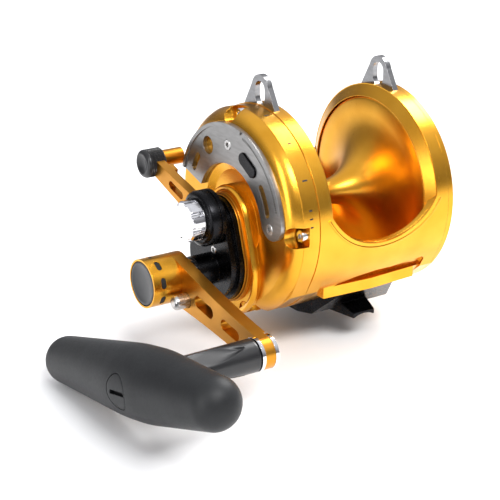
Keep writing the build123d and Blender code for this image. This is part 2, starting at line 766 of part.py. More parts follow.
def lever_arm():
    """Gold arm that starts in the hub, runs out to the knob and carries the detent barrel."""
    blade = Polygon((HUB_R - 3.0, -6.5), (LEVER_R, -4.6), (LEVER_R, 4.6), (HUB_R - 3.0, 6.5), align=None)
    blade = blade + Pos(LEVER_R, 0) * Circle(4.6)
    blade = blade - Pos(30.0, 0) * SlotOverall(16.0, 4.6)
    arm = prism(Rot(0, 0, LEVER_DEG) * blade, -78.6, -84.0)
    arm = arm + detent_barrel()
    block = Pos(LEVER_R - 13.0, 0) * Rectangle(6.0, 7.0)
    arm = arm + prism(Rot(0, 0, LEVER_DEG) * block, -74.6, -78.6)
    return arm - cyl(HUB_R, -70, -95)


def detent_barrel():
    return cyl(BARREL_R, BARREL_IN, -78.6, *polar(BARREL_AT, LEVER_DEG))


def lever_knob():
    y, z = polar(LEVER_R, LEVER_DEG)
    body = cyl(LEVER_KNOB_R, LEVER_KNOB_X, -77.0, y, z)
    body = chamfer(body.edges().filter_by(GeomType.CIRCLE), 0.8)
    body = body - cyl(LEVER_KNOB_R - 2.6, LEVER_KNOB_X - 1, LEVER_KNOB_X + 1.2, y, z)
    for k in range(8):
        gy, gz = polar(LEVER_KNOB_R + 0.9, LEVER_DEG + 45.0 * k, y, z)
        body = body - cyl(1.8, LEVER_KNOB_X - 1, -79.5, gy, gz)
    hollow = Rot(0, 0, LEVER_DEG) * (Polygon((HUB_R, -6.5), (LEVER_R, -4.6), (LEVER_R, 4.6), (HUB_R, 6.5),
                                             align=None) + Pos(LEVER_R, 0) * Circle(4.6))
    return body - prism(hollow, -70, -84.0) - detent_barrel()


def preset_knob():
    body = cyl(PRESET_R, PRESET_X, HUB_OUT - FREE)
    body = chamfer(body.edges().filter_by(GeomType.CIRCLE).sort_by(Axis.X)[0], 0.8)
    for k in range(8):
        y, z = polar(PRESET_R - 0.3, 45.0 * k + 12.0)
        body = body - cyl(1.75, PRESET_X - 1, HUB_OUT - 1.2, y, z)
    return body - cyl(SHAFT_R + RUN, HUB_OUT + 1, DRAG_SHAFT_END - 1.6)


# ---- crank ----
def crank_hub():
    body = cyl(CRANK_HUB_R, ARM_OUT, HUB_FACE, GEAR_Y, GEAR_Z)
    body = body - cyl(BUTTON_R + FREE, BUTTON_FLOOR, HUB_FACE - 1, GEAR_Y, GEAR_Z)
    body = body - cyl(MAIN_R, ARM_OUT + 1, MAIN_END, GEAR_Y, GEAR_Z)
    body = body - cyl(ROD_R + 0.3, MAIN_END + 1, BUTTON_FLOOR - 1, GEAR_Y, GEAR_Z)
    for k in range(8):
        angle = CRANK_DEG + 22.5 + 45.0 * k
        slot = extrude(SlotOverall(6.4, 3.0), 3.0)
        slot = Pos(HUB_FACE + 6.2, 0, 0) * Rot(0, 0, 90) * slot
        slot = Pos(0, 0, CRANK_HUB_R - 1.3) * slot
        body = body - Pos(0, GEAR_Y, GEAR_Z) * Rot(angle - 90.0, 0, 0) * slot
    return body


def shift_button():
    body = cyl(BUTTON_R, HUB_FACE, HUB_FACE + BUTTON_T, GEAR_Y, GEAR_Z)
    body = chamfer(body.edges().filter_by(GeomType.CIRCLE).sort_by(Axis.X)[0], 0.4)
    return body - cyl(ROD_R, HUB_FACE + 2.0, HUB_FACE + BUTTON_T + 1, GEAR_Y, GEAR_Z)


def shift_rod():
    return cyl(ROD_R, HUB_FACE + 2.0, ROD_IN, GEAR_Y, GEAR_Z)


def waisted_arm():
    """Arm outline along its own length: two round ends and sides that curve in."""
    lean = asin((CRANK_HUB_R - ARM_END_R) / CRANK_LEN)
    start_y, start_z = CRANK_HUB_R * sin(lean), CRANK_HUB_R * cos(lean)
    end_y, end_z = CRANK_LEN + ARM_END_R * sin(lean), ARM_END_R * cos(lean)
    middle_y, middle_z = (start_y + end_y) / 2, (start_z + end_z) / 2 - ARM_WAIST
    edges = [
        ThreePointArc((start_y, start_z), (middle_y, middle_z), (end_y, end_z)),
        Line((end_y, end_z), (end_y, -end_z)),
        ThreePointArc((end_y, -end_z), (middle_y, -middle_z), (start_y, -start_z)),
        Line((start_y, -start_z), (start_y, start_z)),
    ]
    return make_face(edges) + Circle(CRANK_HUB_R) + Pos(CRANK_LEN, 0) * Circle(ARM_END_R)


def crank_arm():
    outline = waisted_arm()
    for start, end, width in ((27.0, 46.0, 7.0), (54.0, 72.0, 6.4)):
        outline = outline - Pos((start + end) / 2, 0) * SlotOverall(end - start, width)
    outline = outline - Circle(MAIN_R) - Pos(CRANK_LEN, 0) * Circle(SPINDLE_R)
    arm = prism(moved(Rot(0, 0, CRANK_DEG) * outline, GEAR_Y, GEAR_Z), ARM_IN, ARM_OUT)
    arm = arm - cyl(ARM_END_R + 1.0, ARM_IN + 1, ARM_IN - SPOT_DEPTH, GRIP_Y, GRIP_Z)
    y, z = pin_place()
    return arm - cyl(PIN_R + FREE, ARM_OUT + 5.4, ARM_OUT - 1, y, z)


def pin_place():
    return polar(19.6, CRANK_DEG + 14.0, GEAR_Y, GEAR_Z)


def release_pin():
    y, z = pin_place()
    body = cyl(PIN_R, ARM_OUT - 9.0, ARM_OUT + 5.4 - PIN_TRAVEL - 0.3, y, z)
    return fillet(body.edges().filter_by(GeomType.CIRCLE).sort_by(Axis.X)[0], 2.4)


def crank_washers():
    outer = tube(ARM_END_R + 0.3, SPINDLE_R, ARM_OUT, ARM_OUT - WASHER_T, GRIP_Y, GRIP_Z)
    inner_seat = ARM_IN - SPOT_DEPTH
    inner = tube(ARM_END_R + 0.2, SPINDLE_R, inner_seat, inner_seat + WASHER_T, GRIP_Y, GRIP_Z)
    return outer, inner


def grip_spindle():
    return cyl(SPINDLE_R, ARM_IN - SPOT_DEPTH + WASHER_T, SPINDLE_OUT, GRIP_Y, GRIP_Z)


def grip_shank():
    body = cyl(SHANK_R, SHANK_IN, CORE_OUT, GRIP_Y, GRIP_Z)
    body = body - cyl(SPINDLE_R + RUN, SHANK_IN + 1, SPINDLE_OUT - 0.4, GRIP_Y, GRIP_Z)
    return body


def grip_barrel():
    """Two tapered arms with soft knees in the middle and well rounded ends."""
    outline = Polygon((-GRIP_SHORT, 0), (GRIP_LONG, 0), (GRIP_LONG, GRIP_END_R), (GRIP_KNEE, GRIP_MID_R),
                      (-GRIP_KNEE, GRIP_MID_R), (-GRIP_SHORT, GRIP_END_R), align=None)
    by_height = outline.vertices().group_by(Axis.Y)
    outline = fillet(by_height[-1], GRIP_BLEND)
    ends = outline.vertices().filter_by(lambda v: abs(v.Y - GRIP_END_R) < 0.01)
    outline = fillet(ends, GRIP_CORNER)
    barrel = revolve(outline, Axis.X)
    return Pos(GRIP_X, GRIP_Y, GRIP_Z) * Rot(-GRIP_TILT, 0, 0) * Rot(0, 0, 90) * barrel


def t_grip():
    barrel = grip_barrel() - cyl(SHANK_R, GRIP_X + 3 * GRIP_MID_R, CORE_OUT, GRIP_Y, GRIP_Z)
    return barrel - cyl(CAP_R, CORE_OUT, GRIP_X - 3 * GRIP_MID_R, GRIP_Y, GRIP_Z)


def grip_cap():
    """Plug in the grip's face, flush with the barrel."""
    return grip_barrel() & cyl(CAP_R, CORE_OUT, GRIP_X - 3 * GRIP_MID_R, GRIP_Y, GRIP_Z)


# ---- far side ----
def far_side_plate():
    body = prism(plate_outline(RING_R), PLATE_IN, PLATE_IN + 1.4)
    cap = turned([(PLATE_IN, 0), (PLATE_IN, RING_R), (48.8, RING_R), (50.4, 58.4), (52.8, 55.8),
                  (54.8, 51.0), (FAR_FACE, 45.0), (FAR_FACE, 0)])
    body = body + cap
    chamber = cyl(49.0, PLATE_IN - 1, 50.4) + cyl(43.0, 50, FAR_FACE - 3.0)
    body = body - (chamber - cyl(15.0, 40, 60))
    body = body - cyl(FAR_BUSH_R, PLATE_IN - 1, 52.0) - cyl(8.0, 50, FAR_FACE + 1)
    for angle in FAR_SCREW_DEG:
        y, z = polar(FAR_SCREW_R, angle)
        body = body - cyl(SCREW_R, PLATE_IN - 1, FAR_FACE, y, z) - cyl(HEAD_R, FAR_SEAT, FAR_FACE, y, z)
    slot = Pos(0, CLICK_MID_Z) * Rot(0, 0, 90) * SlotOverall(CLICK_TRAVEL + 7.0 + 2 * FREE, 5.0 + 2 * FREE)
    return body - prism(slot, PLATE_IN - 1, FAR_FACE + 1)


def far_bush():
    return tube(FAR_BUSH_R, SHAFT_R + RUN, PLATE_IN, 49.5)


def far_cap():
    cap = cyl(13.0, FAR_FACE, FAR_FACE + 2.5) + cyl(8.0, 53.0, FAR_FACE)
    cap = chamfer(cap.edges().filter_by(GeomType.CIRCLE).sort_by(Axis.X)[-1], 0.8)
    return cap - cyl(5.0, FAR_FACE + 1.4, FAR_FACE + 3)


def far_screws():
    screws = []
    for angle in FAR_SCREW_DEG:
        y, z = polar(FAR_SCREW_R, angle)
        screws.append(socket_screw(FAR_SEAT + 2.2, FAR_SEAT, SCREW_TIP_X, y, z))
    return screws


def click_button():
    cap_outline = Pos(0, CLICK_STEM_Z) * Rot(0, 0, 90) * SlotOverall(14.0, 9.0)
    stem_outline = Pos(0, CLICK_STEM_Z) * Rot(0, 0, 90) * SlotOverall(7.0, 5.0)
    return prism(cap_outline, FAR_FACE + FREE, FAR_FACE + 3.6) + prism(stem_outline, 42.0, FAR_FACE + 1)


def click_tongue():
    tip = CLICK_R + 0.8
    outline = Polygon((-0.5, tip), (0.5, tip), (3.5, tip + 4), (3.5, CLICK_STEM_Z + 3.5),
                      (-3.5, CLICK_STEM_Z + 3.5), (-3.5, tip + 4), align=None)
    return prism(outline, SPOOL_OUT + 0.6, 42.0)


# ---- foot ----
def reel_foot():
    front = [(-45.4, BAR_Z), (-28.0, -61.6), (28.0, -61.6), (45.4, BAR_Z)]
    wings = prism(Polygon(*front, align=None), -FOOT_HALF_X, FOOT_HALF_X)
    plan = Polygon((-18, -46), (18, -46), (FOOT_HALF_X, -20), (FOOT_HALF_X, 20), (18, 46), (-18, 46),
                   (-FOOT_HALF_X, 20), (-FOOT_HALF_X, -20), align=None)
    wings = wings & slab(plan, -70, -30)
    half = FOOT_LEN / 2
    tongue_plan = Polygon((-TONGUE_W / 2, -22), (-TONGUE_TIP_W / 2, -half), (TONGUE_TIP_W / 2, -half),
                          (TONGUE_W / 2, -22), (TONGUE_W / 2, 22), (TONGUE_TIP_W / 2, half),
                          (-TONGUE_TIP_W / 2, half), (-TONGUE_W / 2, 22), align=None)
    side = Polygon((-half, -64.2), (-half, -61.4), (-26.0, -56.0), (26.0, -56.0), (half, -61.4),
                   (half, -64.2), align=None)
    tongue = prism(side, -TONGUE_W, TONGUE_W) & slab(tongue_plan, -70, -50)
    body = wings + tongue
    body = body - cyl(RING_R, -FOOT_HALF_X - 1, FOOT_HALF_X + 1)
    groove = Pos(0, 0, -AXIS_H - SADDLE_R) * Rot(90, 0, 0) * Cylinder(SADDLE_R, 120)
    body = body - groove
    for x, y in foot_screw_places():
        body = body - Pos(x, y, -62) * Cylinder(SCREW_R, 20)
    return body - clamp_holes()


def clamp_holes():
    """Four holes for the studs of a rod clamp, through the foot and into the frame's wall."""
    holes = [Pos(x, y, CLAMP_TOP - 10) * Cylinder(CLAMP_R, 20)
             for x in (-CLAMP_X / 2, CLAMP_X / 2) for y in (-CLAMP_Y / 2, CLAMP_Y / 2)]
    return holes


def foot_screw_places():
    return [(x, y) for x in (-17.0, 17.0) for y in (-9.0, 9.0)]


def foot_screws():
    screws = []
    for x, y in foot_screw_places():
        screws.append(Pos(x, y, -58.3) * Cylinder(SCREW_R, 6.4))
    return screws


def frame_with_foot_holes(body):
    for x, y in foot_screw_places():
        body = body - Pos(x, y, -58.3) * Cylinder(SCREW_R, 6.4)
    return body - clamp_holes()


keep("frame", frame_with_foot_holes(frame()))
keep("harness_lug_handle_side", harness_lug(-1))
keep("harness_lug_far_side", harness_lug(1))
keep("harness_lug_pins", *lug_pins())
keep("handle_side_plate", handle_side_plate() - dog_pin())
keep("side_plate_screws", *rim_screws())
keep("drag_quadrant", quadrant_plate())
keep("quadrant_screws", *quadrant_screws())
keep("strike_button", strike_button())
keep("gear_cover", gear_cover())
keep("gear_cover_screws", *gear_cover_screws())
keep("oil_port_screw", oil_port_screw())
keep("main_shaft_outer_bearing", outer_bearing())
keep("bridge_plate", bridge_plate())
keep("bridge_screws", *bridge_screws())
keep("pinion_bearing", pinion_bearing())
keep("main_shaft_inner_bearing", main_bearing())
keep("spool", spool())
keep("spool_bearings", *spool_bearings())
keep("click_ratchet", click_ratchet())
keep("drag_washer", drag_washer())
keep("pressure_plate", pressure_plate())
keep("pinion_sleeve", pinion_sleeve())
keep("drag_shaft", drag_shaft())
keep("high_gear", high_gear())
keep("low_gear", low_gear())
keep("main_shaft", main_shaft())
keep("ratchet_wheel", ratchet_wheel())
keep("shaft_collar", shaft_collar())
keep("dog_pin", dog_pin())
keep("anti_reverse_dog", anti_reverse_dog())
keep("lever_hub", lever_hub())
keep("lever_arm", lever_arm())
keep("lever_knob", lever_knob())
keep("drag_preset_knob", preset_knob())
keep("crank_hub", crank_hub())
keep("shift_button", shift_button())
keep("shift_rod", shift_rod())
keep("crank_arm", crank_arm())
keep("shift_release_pin", release_pin())
keep("crank_arm_washers", *crank_washers())
keep("grip_spindle", grip_spindle())
keep("grip_shank", grip_shank())
keep("t_grip", t_grip())
keep("grip_cap", grip_cap())
keep("far_side_plate", far_side_plate())
keep("far_shaft_bush", far_bush())
keep("far_bearing_cap", far_cap())
keep("far_plate_screws", *far_screws())
keep("click_button", click_button())
keep("click_tongue", click_tongue())
keep("reel_foot", reel_foot())
keep("foot_screws", *foot_screws())

for name, shape in NODES.items():
    export_step(shape, f"parts/{name}.step")
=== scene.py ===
import json
import math

import bmesh
import bpy
from mathutils import Matrix, Vector


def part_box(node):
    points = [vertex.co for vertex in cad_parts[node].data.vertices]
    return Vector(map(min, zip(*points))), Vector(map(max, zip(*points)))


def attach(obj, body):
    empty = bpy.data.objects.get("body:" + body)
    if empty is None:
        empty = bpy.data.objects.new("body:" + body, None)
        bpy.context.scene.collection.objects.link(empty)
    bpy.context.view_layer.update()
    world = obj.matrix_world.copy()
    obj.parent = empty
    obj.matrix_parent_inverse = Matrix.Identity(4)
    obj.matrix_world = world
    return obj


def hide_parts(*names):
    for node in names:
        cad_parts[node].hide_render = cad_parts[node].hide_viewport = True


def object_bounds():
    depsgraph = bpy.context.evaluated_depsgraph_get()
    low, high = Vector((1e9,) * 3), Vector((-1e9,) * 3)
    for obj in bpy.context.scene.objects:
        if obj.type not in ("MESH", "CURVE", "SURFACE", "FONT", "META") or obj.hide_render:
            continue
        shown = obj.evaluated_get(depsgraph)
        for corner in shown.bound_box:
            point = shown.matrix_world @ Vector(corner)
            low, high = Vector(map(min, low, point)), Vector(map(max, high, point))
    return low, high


MM = 0.001
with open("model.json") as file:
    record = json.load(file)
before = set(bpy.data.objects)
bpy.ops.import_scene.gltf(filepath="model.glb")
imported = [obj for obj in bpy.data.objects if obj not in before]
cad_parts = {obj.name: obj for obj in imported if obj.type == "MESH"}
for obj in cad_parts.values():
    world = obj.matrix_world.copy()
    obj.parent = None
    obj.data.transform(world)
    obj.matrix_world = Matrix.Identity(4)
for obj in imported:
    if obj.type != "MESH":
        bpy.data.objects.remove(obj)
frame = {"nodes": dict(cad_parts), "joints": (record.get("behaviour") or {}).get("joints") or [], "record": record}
cad_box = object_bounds()

JOINT = {j["name"]: j for j in frame["joints"]}
SPOOL_Z = JOINT["spool_turn"]["pos_m"][2] / MM
GEAR_Y, GEAR_Z = (v / MM for v in JOINT["crank_turn"]["pos_m"][1:])
GRIP_Y, GRIP_Z = (v / MM for v in JOINT["grip_spin"]["pos_m"][1:])
SPOOL_AXIS = (0.0, SPOOL_Z)
GEAR_AXIS = (GEAR_Y, GEAR_Z)
GRIP_AXIS = (GRIP_Y, GRIP_Z)


# ---------------------------------------------------------------- materials
class Shader:
    """A node material around one principled shader."""

    def __init__(self, name, metallic, rough, **fixed):
        self.mat = bpy.data.materials.new(name)
        self.mat.use_nodes = True
        self.tree = self.mat.node_tree
        self.bsdf = self.tree.nodes["Principled BSDF"]
        self.bsdf.inputs["Metallic"].default_value = metallic
        self.bsdf.inputs["Roughness"].default_value = rough
        for key, value in fixed.items():
            self.bsdf.inputs[key.replace("_", " ")].default_value = value
        self.where = self.node("ShaderNodeTexCoord").outputs["Object"]
        self.normal = None

    def node(self, kind, **settings):
        made = self.tree.nodes.new(kind)
        for key, value in settings.items():
            setattr(made, key, value)
        return made

    def link(self, a, b):
        self.tree.links.new(a, b)

    def noise(self, scale, detail=3.0, stretch=None):
        source = self.where
        if stretch:
            mapping = self.node("ShaderNodeMapping")
            mapping.inputs["Scale"].default_value = stretch
            self.link(source, mapping.inputs["Vector"])
            source = mapping.outputs["Vector"]
        made = self.node("ShaderNodeTexNoise")
        made.inputs["Scale"].default_value = scale
        made.inputs["Detail"].default_value = detail
        self.link(source, made.inputs["Vector"])
        return made.outputs["Fac"]

    def colour(self, driver, *stops):
        ramp = self.node("ShaderNodeValToRGB")
        elements = ramp.color_ramp.elements
        while len(elements) < len(stops):
            elements.new(0.5)
        for element, (place, rgb) in zip(elements, stops):
            element.position = place
            element.color = (*rgb, 1.0)
        self.link(driver, ramp.inputs["Fac"])
        self.link(ramp.outputs["Color"], self.bsdf.inputs["Base Color"])

    def rough(self, driver, low, high):
        span = self.node("ShaderNodeMapRange")
        span.inputs["To Min"].default_value = low
        span.inputs["To Max"].default_value = high
        self.link(driver, span.inputs["Value"])
        self.link(span.outputs["Result"], self.bsdf.inputs["Roughness"])

    def edge(self, radius):
        """Softly rounded edges."""
        bevel = self.node("ShaderNodeBevel", samples=4)
        bevel.inputs["Radius"].default_value = radius
        self.normal = bevel.outputs["Normal"]
        self.link(self.normal, self.bsdf.inputs["Normal"])

    def bump(self, driver, strength, distance):
        made = self.node("ShaderNodeBump")
        made.inputs["Strength"].default_value = strength
        made.inputs["Distance"].default_value = distance
        self.link(driver, made.inputs["Height"])
        if self.normal:
            self.link(self.normal, made.inputs["Normal"])
        self.normal = made.outputs["Normal"]
        self.link(self.normal, self.bsdf.inputs["Normal"])


def gold(name, dark, light, rough_low, rough_high, grain=(1.0, 1.0, 1.0)):
    s = Shader(name, 1.0, 0.3)
    s.colour(s.noise(55.0, 2.0), (0.30, dark), (0.70, light))
    s.rough(s.noise(900.0, 4.0, grain), rough_low, rough_high)
    s.edge(0.00035)
    s.bump(s.noise(5200.0, 2.0, grain), 0.06, 0.00012)
    return s.mat


def metal(name, dark, light, rough_low, rough_high, grain, strength=0.10, edge=0.0002):
    s = Shader(name, 1.0, 0.3)
    s.colour(s.noise(120.0, 3.0, grain), (0.25, dark), (0.75, light))
    s.rough(s.noise(1400.0, 4.0, grain), rough_low, rough_high)
    s.edge(edge)
    s.bump(s.noise(4200.0, 2.0, grain), strength, 0.0001)
    return s.mat


def plastic(name, dark, light, rough_low, rough_high, scale, strength, **fixed):
    s = Shader(name, 0.0, 0.5, **fixed)
    s.colour(s.noise(70.0, 4.0), (0.30, dark), (0.70, light))
    s.rough(s.noise(600.0, 4.0), rough_low, rough_high)
    s.edge(0.0003)
    s.bump(s.noise(scale, 3.0), strength, 0.00012)
    return s.mat


def carbon(name):
    s = Shader(name, 0.0, 0.5)
    weave = s.node("ShaderNodeTexChecker")
    weave.inputs["Scale"].default_value = 900.0
    weave.inputs["Color1"].default_value = (0.035, 0.035, 0.04, 1.0)
    weave.inputs["Color2"].default_value = (0.012, 0.012, 0.014, 1.0)
    s.link(s.where, weave.inputs["Vector"])
    s.link(weave.outputs["Color"], s.bsdf.inputs["Base Color"])
    s.bump(weave.outputs["Fac"], 0.3, 0.0001)
    return s.mat


GOLD = gold("gold_anodised", (0.70, 0.325, 0.026), (0.80, 0.395, 0.040), 0.20, 0.30)
GOLD_TURNED = gold("gold_turned", (0.70, 0.330, 0.030), (0.80, 0.400, 0.045), 0.24, 0.36,
                   (14.0, 1.0, 1.0))
GOLD_ARM = gold("gold_arm", (0.50, 0.215, 0.020), (0.59, 0.26, 0.028), 0.28, 0.38)
TITANIUM = metal("grey_titanium", (0.25, 0.245, 0.24), (0.33, 0.325, 0.32), 0.26, 0.38,
                 (1.0, 1.0, 5.0))
LUG_GREY = metal("lug_grey", (0.24, 0.24, 0.245), (0.32, 0.32, 0.325), 0.18, 0.30,
                 (1.0, 1.0, 5.0))
BLACK = metal("black_anodised", (0.012, 0.012, 0.013), (0.022, 0.022, 0.024), 0.22, 0.32,
              (1.0, 1.0, 1.0), 0.05, 0.0004)
STEEL = metal("stainless", (0.46, 0.45, 0.44), (0.60, 0.59, 0.58), 0.20, 0.34, (1.0, 9.0, 9.0))
BEARING = metal("bearing_steel", (0.42, 0.42, 0.43), (0.55, 0.55, 0.56), 0.16, 0.28,
                (1.0, 6.0, 6.0))
CHROME = metal("chrome", (0.66, 0.66, 0.68), (0.76, 0.76, 0.78), 0.06, 0.14,
               (1.0, 1.0, 1.0), 0.02)
BRONZE = metal("bronze", (0.50, 0.30, 0.11), (0.62, 0.40, 0.16), 0.24, 0.38, (1.0, 5.0, 5.0))
FIBRE = carbon("drag_fibre")
MOULDED = plastic("black_plastic", (0.006, 0.006, 0.007), (0.012, 0.012, 0.013), 0.26, 0.38,
                  2600.0, 0.12)
RUBBER = plastic("grip_rubber", (0.006, 0.0065, 0.0075), (0.011, 0.012, 0.013), 0.46, 0.58,
                 2400.0, 0.28, Specular_IOR_Level=0.32)
BUTTON = plastic("button_grey", (0.018, 0.019, 0.020), (0.030, 0.031, 0.033), 0.30, 0.42,
                 2600.0, 0.10)
# near-black: painted shade in the hub slots and under the quadrant lip, and the ink of the rim scale marks
DARK = plastic("shade_and_print_black", (0.003, 0.003, 0.003), (0.006, 0.006, 0.006), 0.55, 0.70,
               1500.0, 0.10)

# the record's material slots, and the nodes that look different from their slot
SLOT_MATERIAL = {
    "gold_anodised": GOLD, "grey_titanium": TITANIUM, "black_anodised": BLACK, "stainless": STEEL,
    "chrome": CHROME, "bearing_steel": BEARING, "bronze": BRONZE, "drag_fibre": FIBRE,
    "black_plastic": MOULDED, "grip_rubber": RUBBER,
}
NODE_MATERIAL = {
    "harness_lug_handle_side": LUG_GREY, "harness_lug_far_side": LUG_GREY, "crank_arm": GOLD_ARM,
    "lever_arm": GOLD_ARM, "spool": GOLD_TURNED, "shift_release_pin": STEEL,
}


def dress(obj, material, smooth=30.0):
    obj.data.materials.clear()
    obj.data.materials.append(material)
    if smooth:
        obj.data.shade_smooth()
        obj.data.set_sharp_from_angle(angle=math.radians(smooth))
    return obj


for row in frame["record"]["subparts"]:
    node = row["node"]
    finish = NODE_MATERIAL.get(node, SLOT_MATERIAL[row["material_slot"]])
    dress(frame["nodes"][node], finish, None)


# ---------------------------------------------------------------- meshes
def mesh_object(name, verts, faces, material, smooth=35.0):
    """verts are (x, y, z) in millimetres in the row frame."""
    data = bpy.data.meshes.new(name)
    data.from_pydata([(x * MM, y * MM, z * MM) for x, y, z in verts], [], faces)
    data.validate()
    obj = bpy.data.objects.new(name, data)
    bpy.context.scene.collection.objects.link(obj)
    bm = bmesh.new()
    bm.from_mesh(data)
    bmesh.ops.remove_doubles(bm, verts=bm.verts, dist=1e-6)
    bmesh.ops.recalc_face_normals(bm, faces=bm.faces)
    bm.to_mesh(data)
    bm.free()
    return dress(obj, material, smooth)


def place(obj, body, slot, *nodes):
    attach(obj, body)
    if nodes:
        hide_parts(*nodes)
    return obj


def lathe(name, profile, centre, material, segments=128, wobble=None, smooth=35.0, closed=False):
    """Turned shape along X about centre, (y, z). profile holds (x, r).

    wobble(x, r, angle) gives a new r. A closed profile joins its last point to its first.
    """
    verts, rings = [], []
    for x, r in profile:
        ring = []
        for k in range(segments):
            a = 2 * math.pi * k / segments
            radius = wobble(x, r, a) if wobble else r
            ring.append(len(verts))
            verts.append((x, centre[0] + radius * math.cos(a), centre[1] + radius * math.sin(a)))
            if r == 0:
                break
        rings.append(ring)
    faces = []
    pairs = list(zip(rings, rings[1:]))
    if closed:
        pairs.append((rings[-1], rings[0]))
    for low, high in pairs:
        for k in range(segments):
            n = (k + 1) % segments
            if len(low) == 1 and len(high) == 1:
                continue
            if len(low) == 1:
                faces.append((low[0], high[n], high[k]))
            elif len(high) == 1:
                faces.append((low[k], low[n], high[0]))
            else:
                faces.append((low[k], low[n], high[n], high[k]))
    return mesh_object(name, verts, faces, material, smooth)


def polar(radius, angle, centre=(0.0, 0.0)):
    a = math.radians(angle)
    return centre[0] + radius * math.cos(a), centre[1] + radius * math.sin(a)


def hull_line(ya, za, ra, yb, zb, rb):
    """Points round two circles, in Y and Z, with the outward normal at each."""
    steps = 48
    along = math.degrees(math.atan2(zb - za, yb - ya))
    turn = math.degrees(math.acos((ra - rb) / math.hypot(yb - ya, zb - za)))
    points = []
    for k in range(steps + 1):
        a = along + turn + (360 - 2 * turn) * k / steps
        points.append((*polar(ra, a, (ya, za)), *polar(1.0, a)))
    for k in range(steps + 1):
        a = along - turn + 2 * turn * k / steps
        points.append((*polar(rb, a, (yb, zb)), *polar(1.0, a)))
    return points


def sweep(name, line, section, material):
    """Carries a section of (outward offset, x) points round a closed line of (y, z, ny, nz)."""
    verts, faces = [], []
    count = len(section)
    for y, z, ny, nz in line:
        for off, x in section:
            verts.append((x, y + ny * off, z + nz * off))
    for k in range(len(line)):
        n = (k + 1) % len(line)
        for j in range(count):
            m = (j + 1) % count
            faces.append((k * count + j, k * count + m, n * count + m, n * count + j))
    return mesh_object(name, verts, faces, material)


def plate(name, outline, x0, x1, material, bevel):
    """A flat plate with a bevelled edge from an outline in Y and Z."""
    bm = bmesh.new()
    lower = [bm.verts.new((x0 * MM, y * MM, z * MM)) for y, z in outline]
    face = bm.faces.new(lower)
    pushed = bmesh.ops.extrude_face_region(bm, geom=[face])
    moved = [v for v in pushed["geom"] if isinstance(v, bmesh.types.BMVert)]
    bmesh.ops.translate(bm, verts=moved, vec=((x1 - x0) * MM, 0, 0))
    bmesh.ops.recalc_face_normals(bm, faces=bm.faces)
    if bevel:
        rims = [e for e in bm.edges if abs(e.verts[0].co.x - e.verts[1].co.x) < 1e-9]
        bmesh.ops.bevel(bm, geom=rims, offset=bevel * MM, segments=2, profile=0.5, affect="EDGES")
    data = bpy.data.meshes.new(name)
    bm.to_mesh(data)
    bm.free()
    obj = bpy.data.objects.new(name, data)
    bpy.context.scene.collection.objects.link(obj)
    return dress(obj, material)


def join(name, parts):
    """One object from several meshes."""
    bm = bmesh.new()
    for part in parts:
        bm.from_mesh(part.data)
    data = bpy.data.meshes.new(name)
    bm.to_mesh(data)
    bm.free()
    material = parts[0].data.materials[0]
    for part in parts:
        bpy.data.objects.remove(part)
    obj = bpy.data.objects.new(name, data)
    bpy.context.scene.collection.objects.link(obj)
    return dress(obj, material, 35.0)


def carve(obj, tool):
    """Cuts tool out of obj and keeps the result."""
    cut = obj.modifiers.new("cut", "BOOLEAN")
    cut.operation = "DIFFERENCE"
    cut.solver = "EXACT"
    cut.object = tool
    bpy.context.view_layer.update()
    made = bpy.data.meshes.new_from_object(obj.evaluated_get(bpy.context.evaluated_depsgraph_get()))
    obj.modifiers.clear()
    obj.data = made
    bpy.data.objects.remove(tool)
    return obj


# ---------------------------------------------------------------- spool
low, high = (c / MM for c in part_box("spool"))
SPOOL_OUT = high.x
FLANGE_R = (high.z - low.z) / 2
LIP = 33.2                          # half the width between the flanges' lips
FLARE_R = FLANGE_R - 7.0
WAIST_R = 7.2
FLARE_STEPS = 32
BORE_R, BEARING_SEAT_X = 4.4, 28.0


def spool_half(sign):
    """Outer profile from the waist to one flange: an elliptical flare and a rounded lip."""
    points = []
    for k in range(FLARE_STEPS + 1):
        a = math.pi / 2 * (1 - k / FLARE_STEPS)
        points.append((sign * LIP * math.cos(a), FLARE_R - (FLARE_R - WAIST_R) * math.sin(a)))
    points += [(sign * (LIP + 0.7), FLANGE_R - 1.6), (sign * (LIP + 0.95), FLANGE_R - 0.7),
               (sign * (LIP + 1.3), FLANGE_R - 0.15), (sign * (LIP + 1.6), FLANGE_R),
               (sign * (SPOOL_OUT - 0.6), FLANGE_R), (sign * SPOOL_OUT, FLANGE_R - 0.6)]
    return points


# dished end faces, from the rim in to the bearing seat
far_face = [(SPOOL_OUT, 40.0), (35.4, 36.0), (33.6, 30.0), (31.2, 25.0), (28.3, 20.0),
            (27.0, 16.0), (27.0, 13.5), (SPOOL_OUT, 12.9), (SPOOL_OUT, 9.7), (BEARING_SEAT_X, 9.5)]
near_face = [(-SPOOL_OUT, 46.0), (-34.0, 46.0), (-34.0, 36.0), (-33.6, 30.0), (-31.2, 25.0),
             (-28.3, 20.0), (-27.0, 16.0), (-27.0, 13.5), (-34.0, 12.9), (-34.0, 9.7),
             (-BEARING_SEAT_X, 9.5)]
outer = list(reversed(spool_half(-1))) + spool_half(1)[1:]
bore = [(BEARING_SEAT_X, BORE_R), (-BEARING_SEAT_X, BORE_R)]
spool = lathe("spool_body", outer + far_face + bore + list(reversed(near_face)),
              SPOOL_AXIS, GOLD_TURNED, 192, closed=True)
place(spool, "spool", "gold_anodised", "spool")

# ---------------------------------------------------------------- grip
t_low, t_high = (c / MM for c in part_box("t_grip"))
GRIP_X = (t_low.x + t_high.x) / 2
GRIP_LONG, GRIP_SHORT = 102.0, 75.0     # lengths of the barrel's two arms
GRIP_TILT = math.radians(13.0)
END_R, MID_R = 12.4, (t_high.x - t_low.x) / 2
KNEE, CORNER = 11.0, 11.0               # where the tapers start, and how far the ends are rounded
KNEE_BLEND = 6.0


